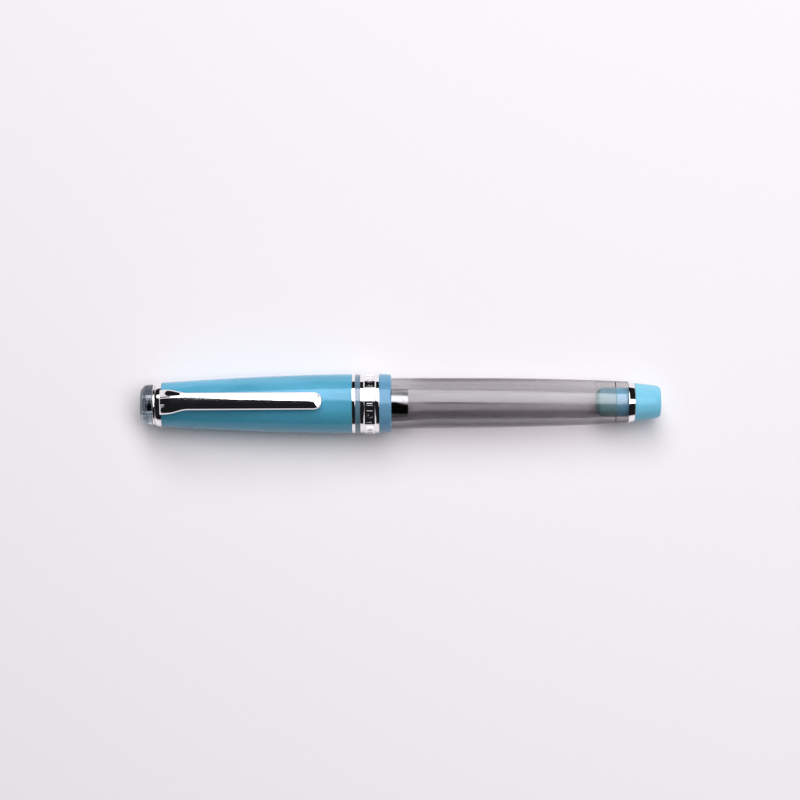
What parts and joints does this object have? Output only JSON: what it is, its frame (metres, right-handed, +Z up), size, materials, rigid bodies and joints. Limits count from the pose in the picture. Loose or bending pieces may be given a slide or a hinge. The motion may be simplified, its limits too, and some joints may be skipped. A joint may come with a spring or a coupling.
{
  "type": "fountain pen",
  "caption": "Capped flat-top fountain pen: threaded cap with sprung clip and chrome bands, clear barrel with a coloured tail, grip section with nib and feed inside.",
  "frame": {"origin": "on the resting surface, below the middle of the pen's length, in the plane of its axis", "axes": "+X along the pen from the crown of the cap to the tail, +Z up through the clip, +Y across"},
  "size_m": [0.124, 0.0144, 0.0167],
  "materials": {
    "aqua_resin": "polished translucent aqua resin with a pearl sheen",
    "clear_resin": "polished clear resin",
    "sky_resin": "satin sky-blue resin",
    "chrome": "mirror-bright plating",
    "nib_steel": "polished stainless steel",
    "tip_alloy": "ground hard alloy",
    "black_plastic": "fine matte moulding",
    "liner_plastic": "milky moulded plastic",
    "seal_rubber": "smooth rubber"
  },
  "bodies": {
    "section": {"section_grip": "aqua_resin", "section_nose_ring": "chrome", "section_collar": "chrome", "nib_housing": "black_plastic", "feed": "black_plastic", "nib": "nib_steel", "nib_tip": "tip_alloy"},
    "seal": {"barrel_seal": "seal_rubber"},
    "tail_band": {"tail_ring": "chrome"},
    "barrel": {"barrel": "clear_resin", "tail_cap": "sky_resin"},
    "liner": {"inner_cap": "liner_plastic"},
    "cap_bands": {"cap_front_ring": "chrome", "cap_stripe": "aqua_resin", "cap_band": "chrome"},
    "cap": {"cap_tube": "aqua_resin", "cap_lip": "aqua_resin", "cap_crown": "clear_resin", "crown_stud": "black_plastic", "crown_washer": "chrome", "clip_ring": "chrome"},
    "clip": {"clip": "chrome"}
  },
  "joints": [
    {"name": "cap_pull_off", "type": "slide", "parent": "section", "child": "liner", "axis": [-1, 0, 0], "range_m": [0, 0.06]},
    {"name": "cap_thread_travel", "type": "slide", "parent": "liner", "child": "cap_bands", "axis": [-1, 0, 0], "range_m": [0, 0.0048]},
    {"name": "cap_unscrew", "type": "hinge", "parent": "cap_bands", "child": "cap", "pos_m": [-0.012, 0, 0.00724], "axis": [-1, 0, 0], "range_deg": [0, 540]},
    {"name": "clip_flex", "type": "hinge", "parent": "cap", "child": "clip", "pos_m": [-0.0566, 0, 0.01324], "axis": [0, -1, 0], "range_deg": [0, 4], "stiffness_Nm_per_rad": 1.5},
    {"name": "barrel_thread_travel", "type": "slide", "parent": "section", "child": "seal", "axis": [1, 0, 0], "range_m": [0, 0.0045]},
    {"name": "barrel_pull_off", "type": "slide", "parent": "seal", "child": "tail_band", "axis": [1, 0, 0], "range_m": [0, 0.05]},
    {"name": "barrel_unscrew", "type": "hinge", "parent": "tail_band", "child": "barrel", "pos_m": [0.028, 0, 0.00724], "axis": [1, 0, 0], "range_deg": [0, 1800]}
  ],
  "couplings": [
    {"joint": "cap_unscrew", "follows": "cap_thread_travel", "rad_per_m": 1963.5},
    {"joint": "barrel_unscrew", "follows": "barrel_thread_travel", "rad_per_m": 6981.3}
  ]
}
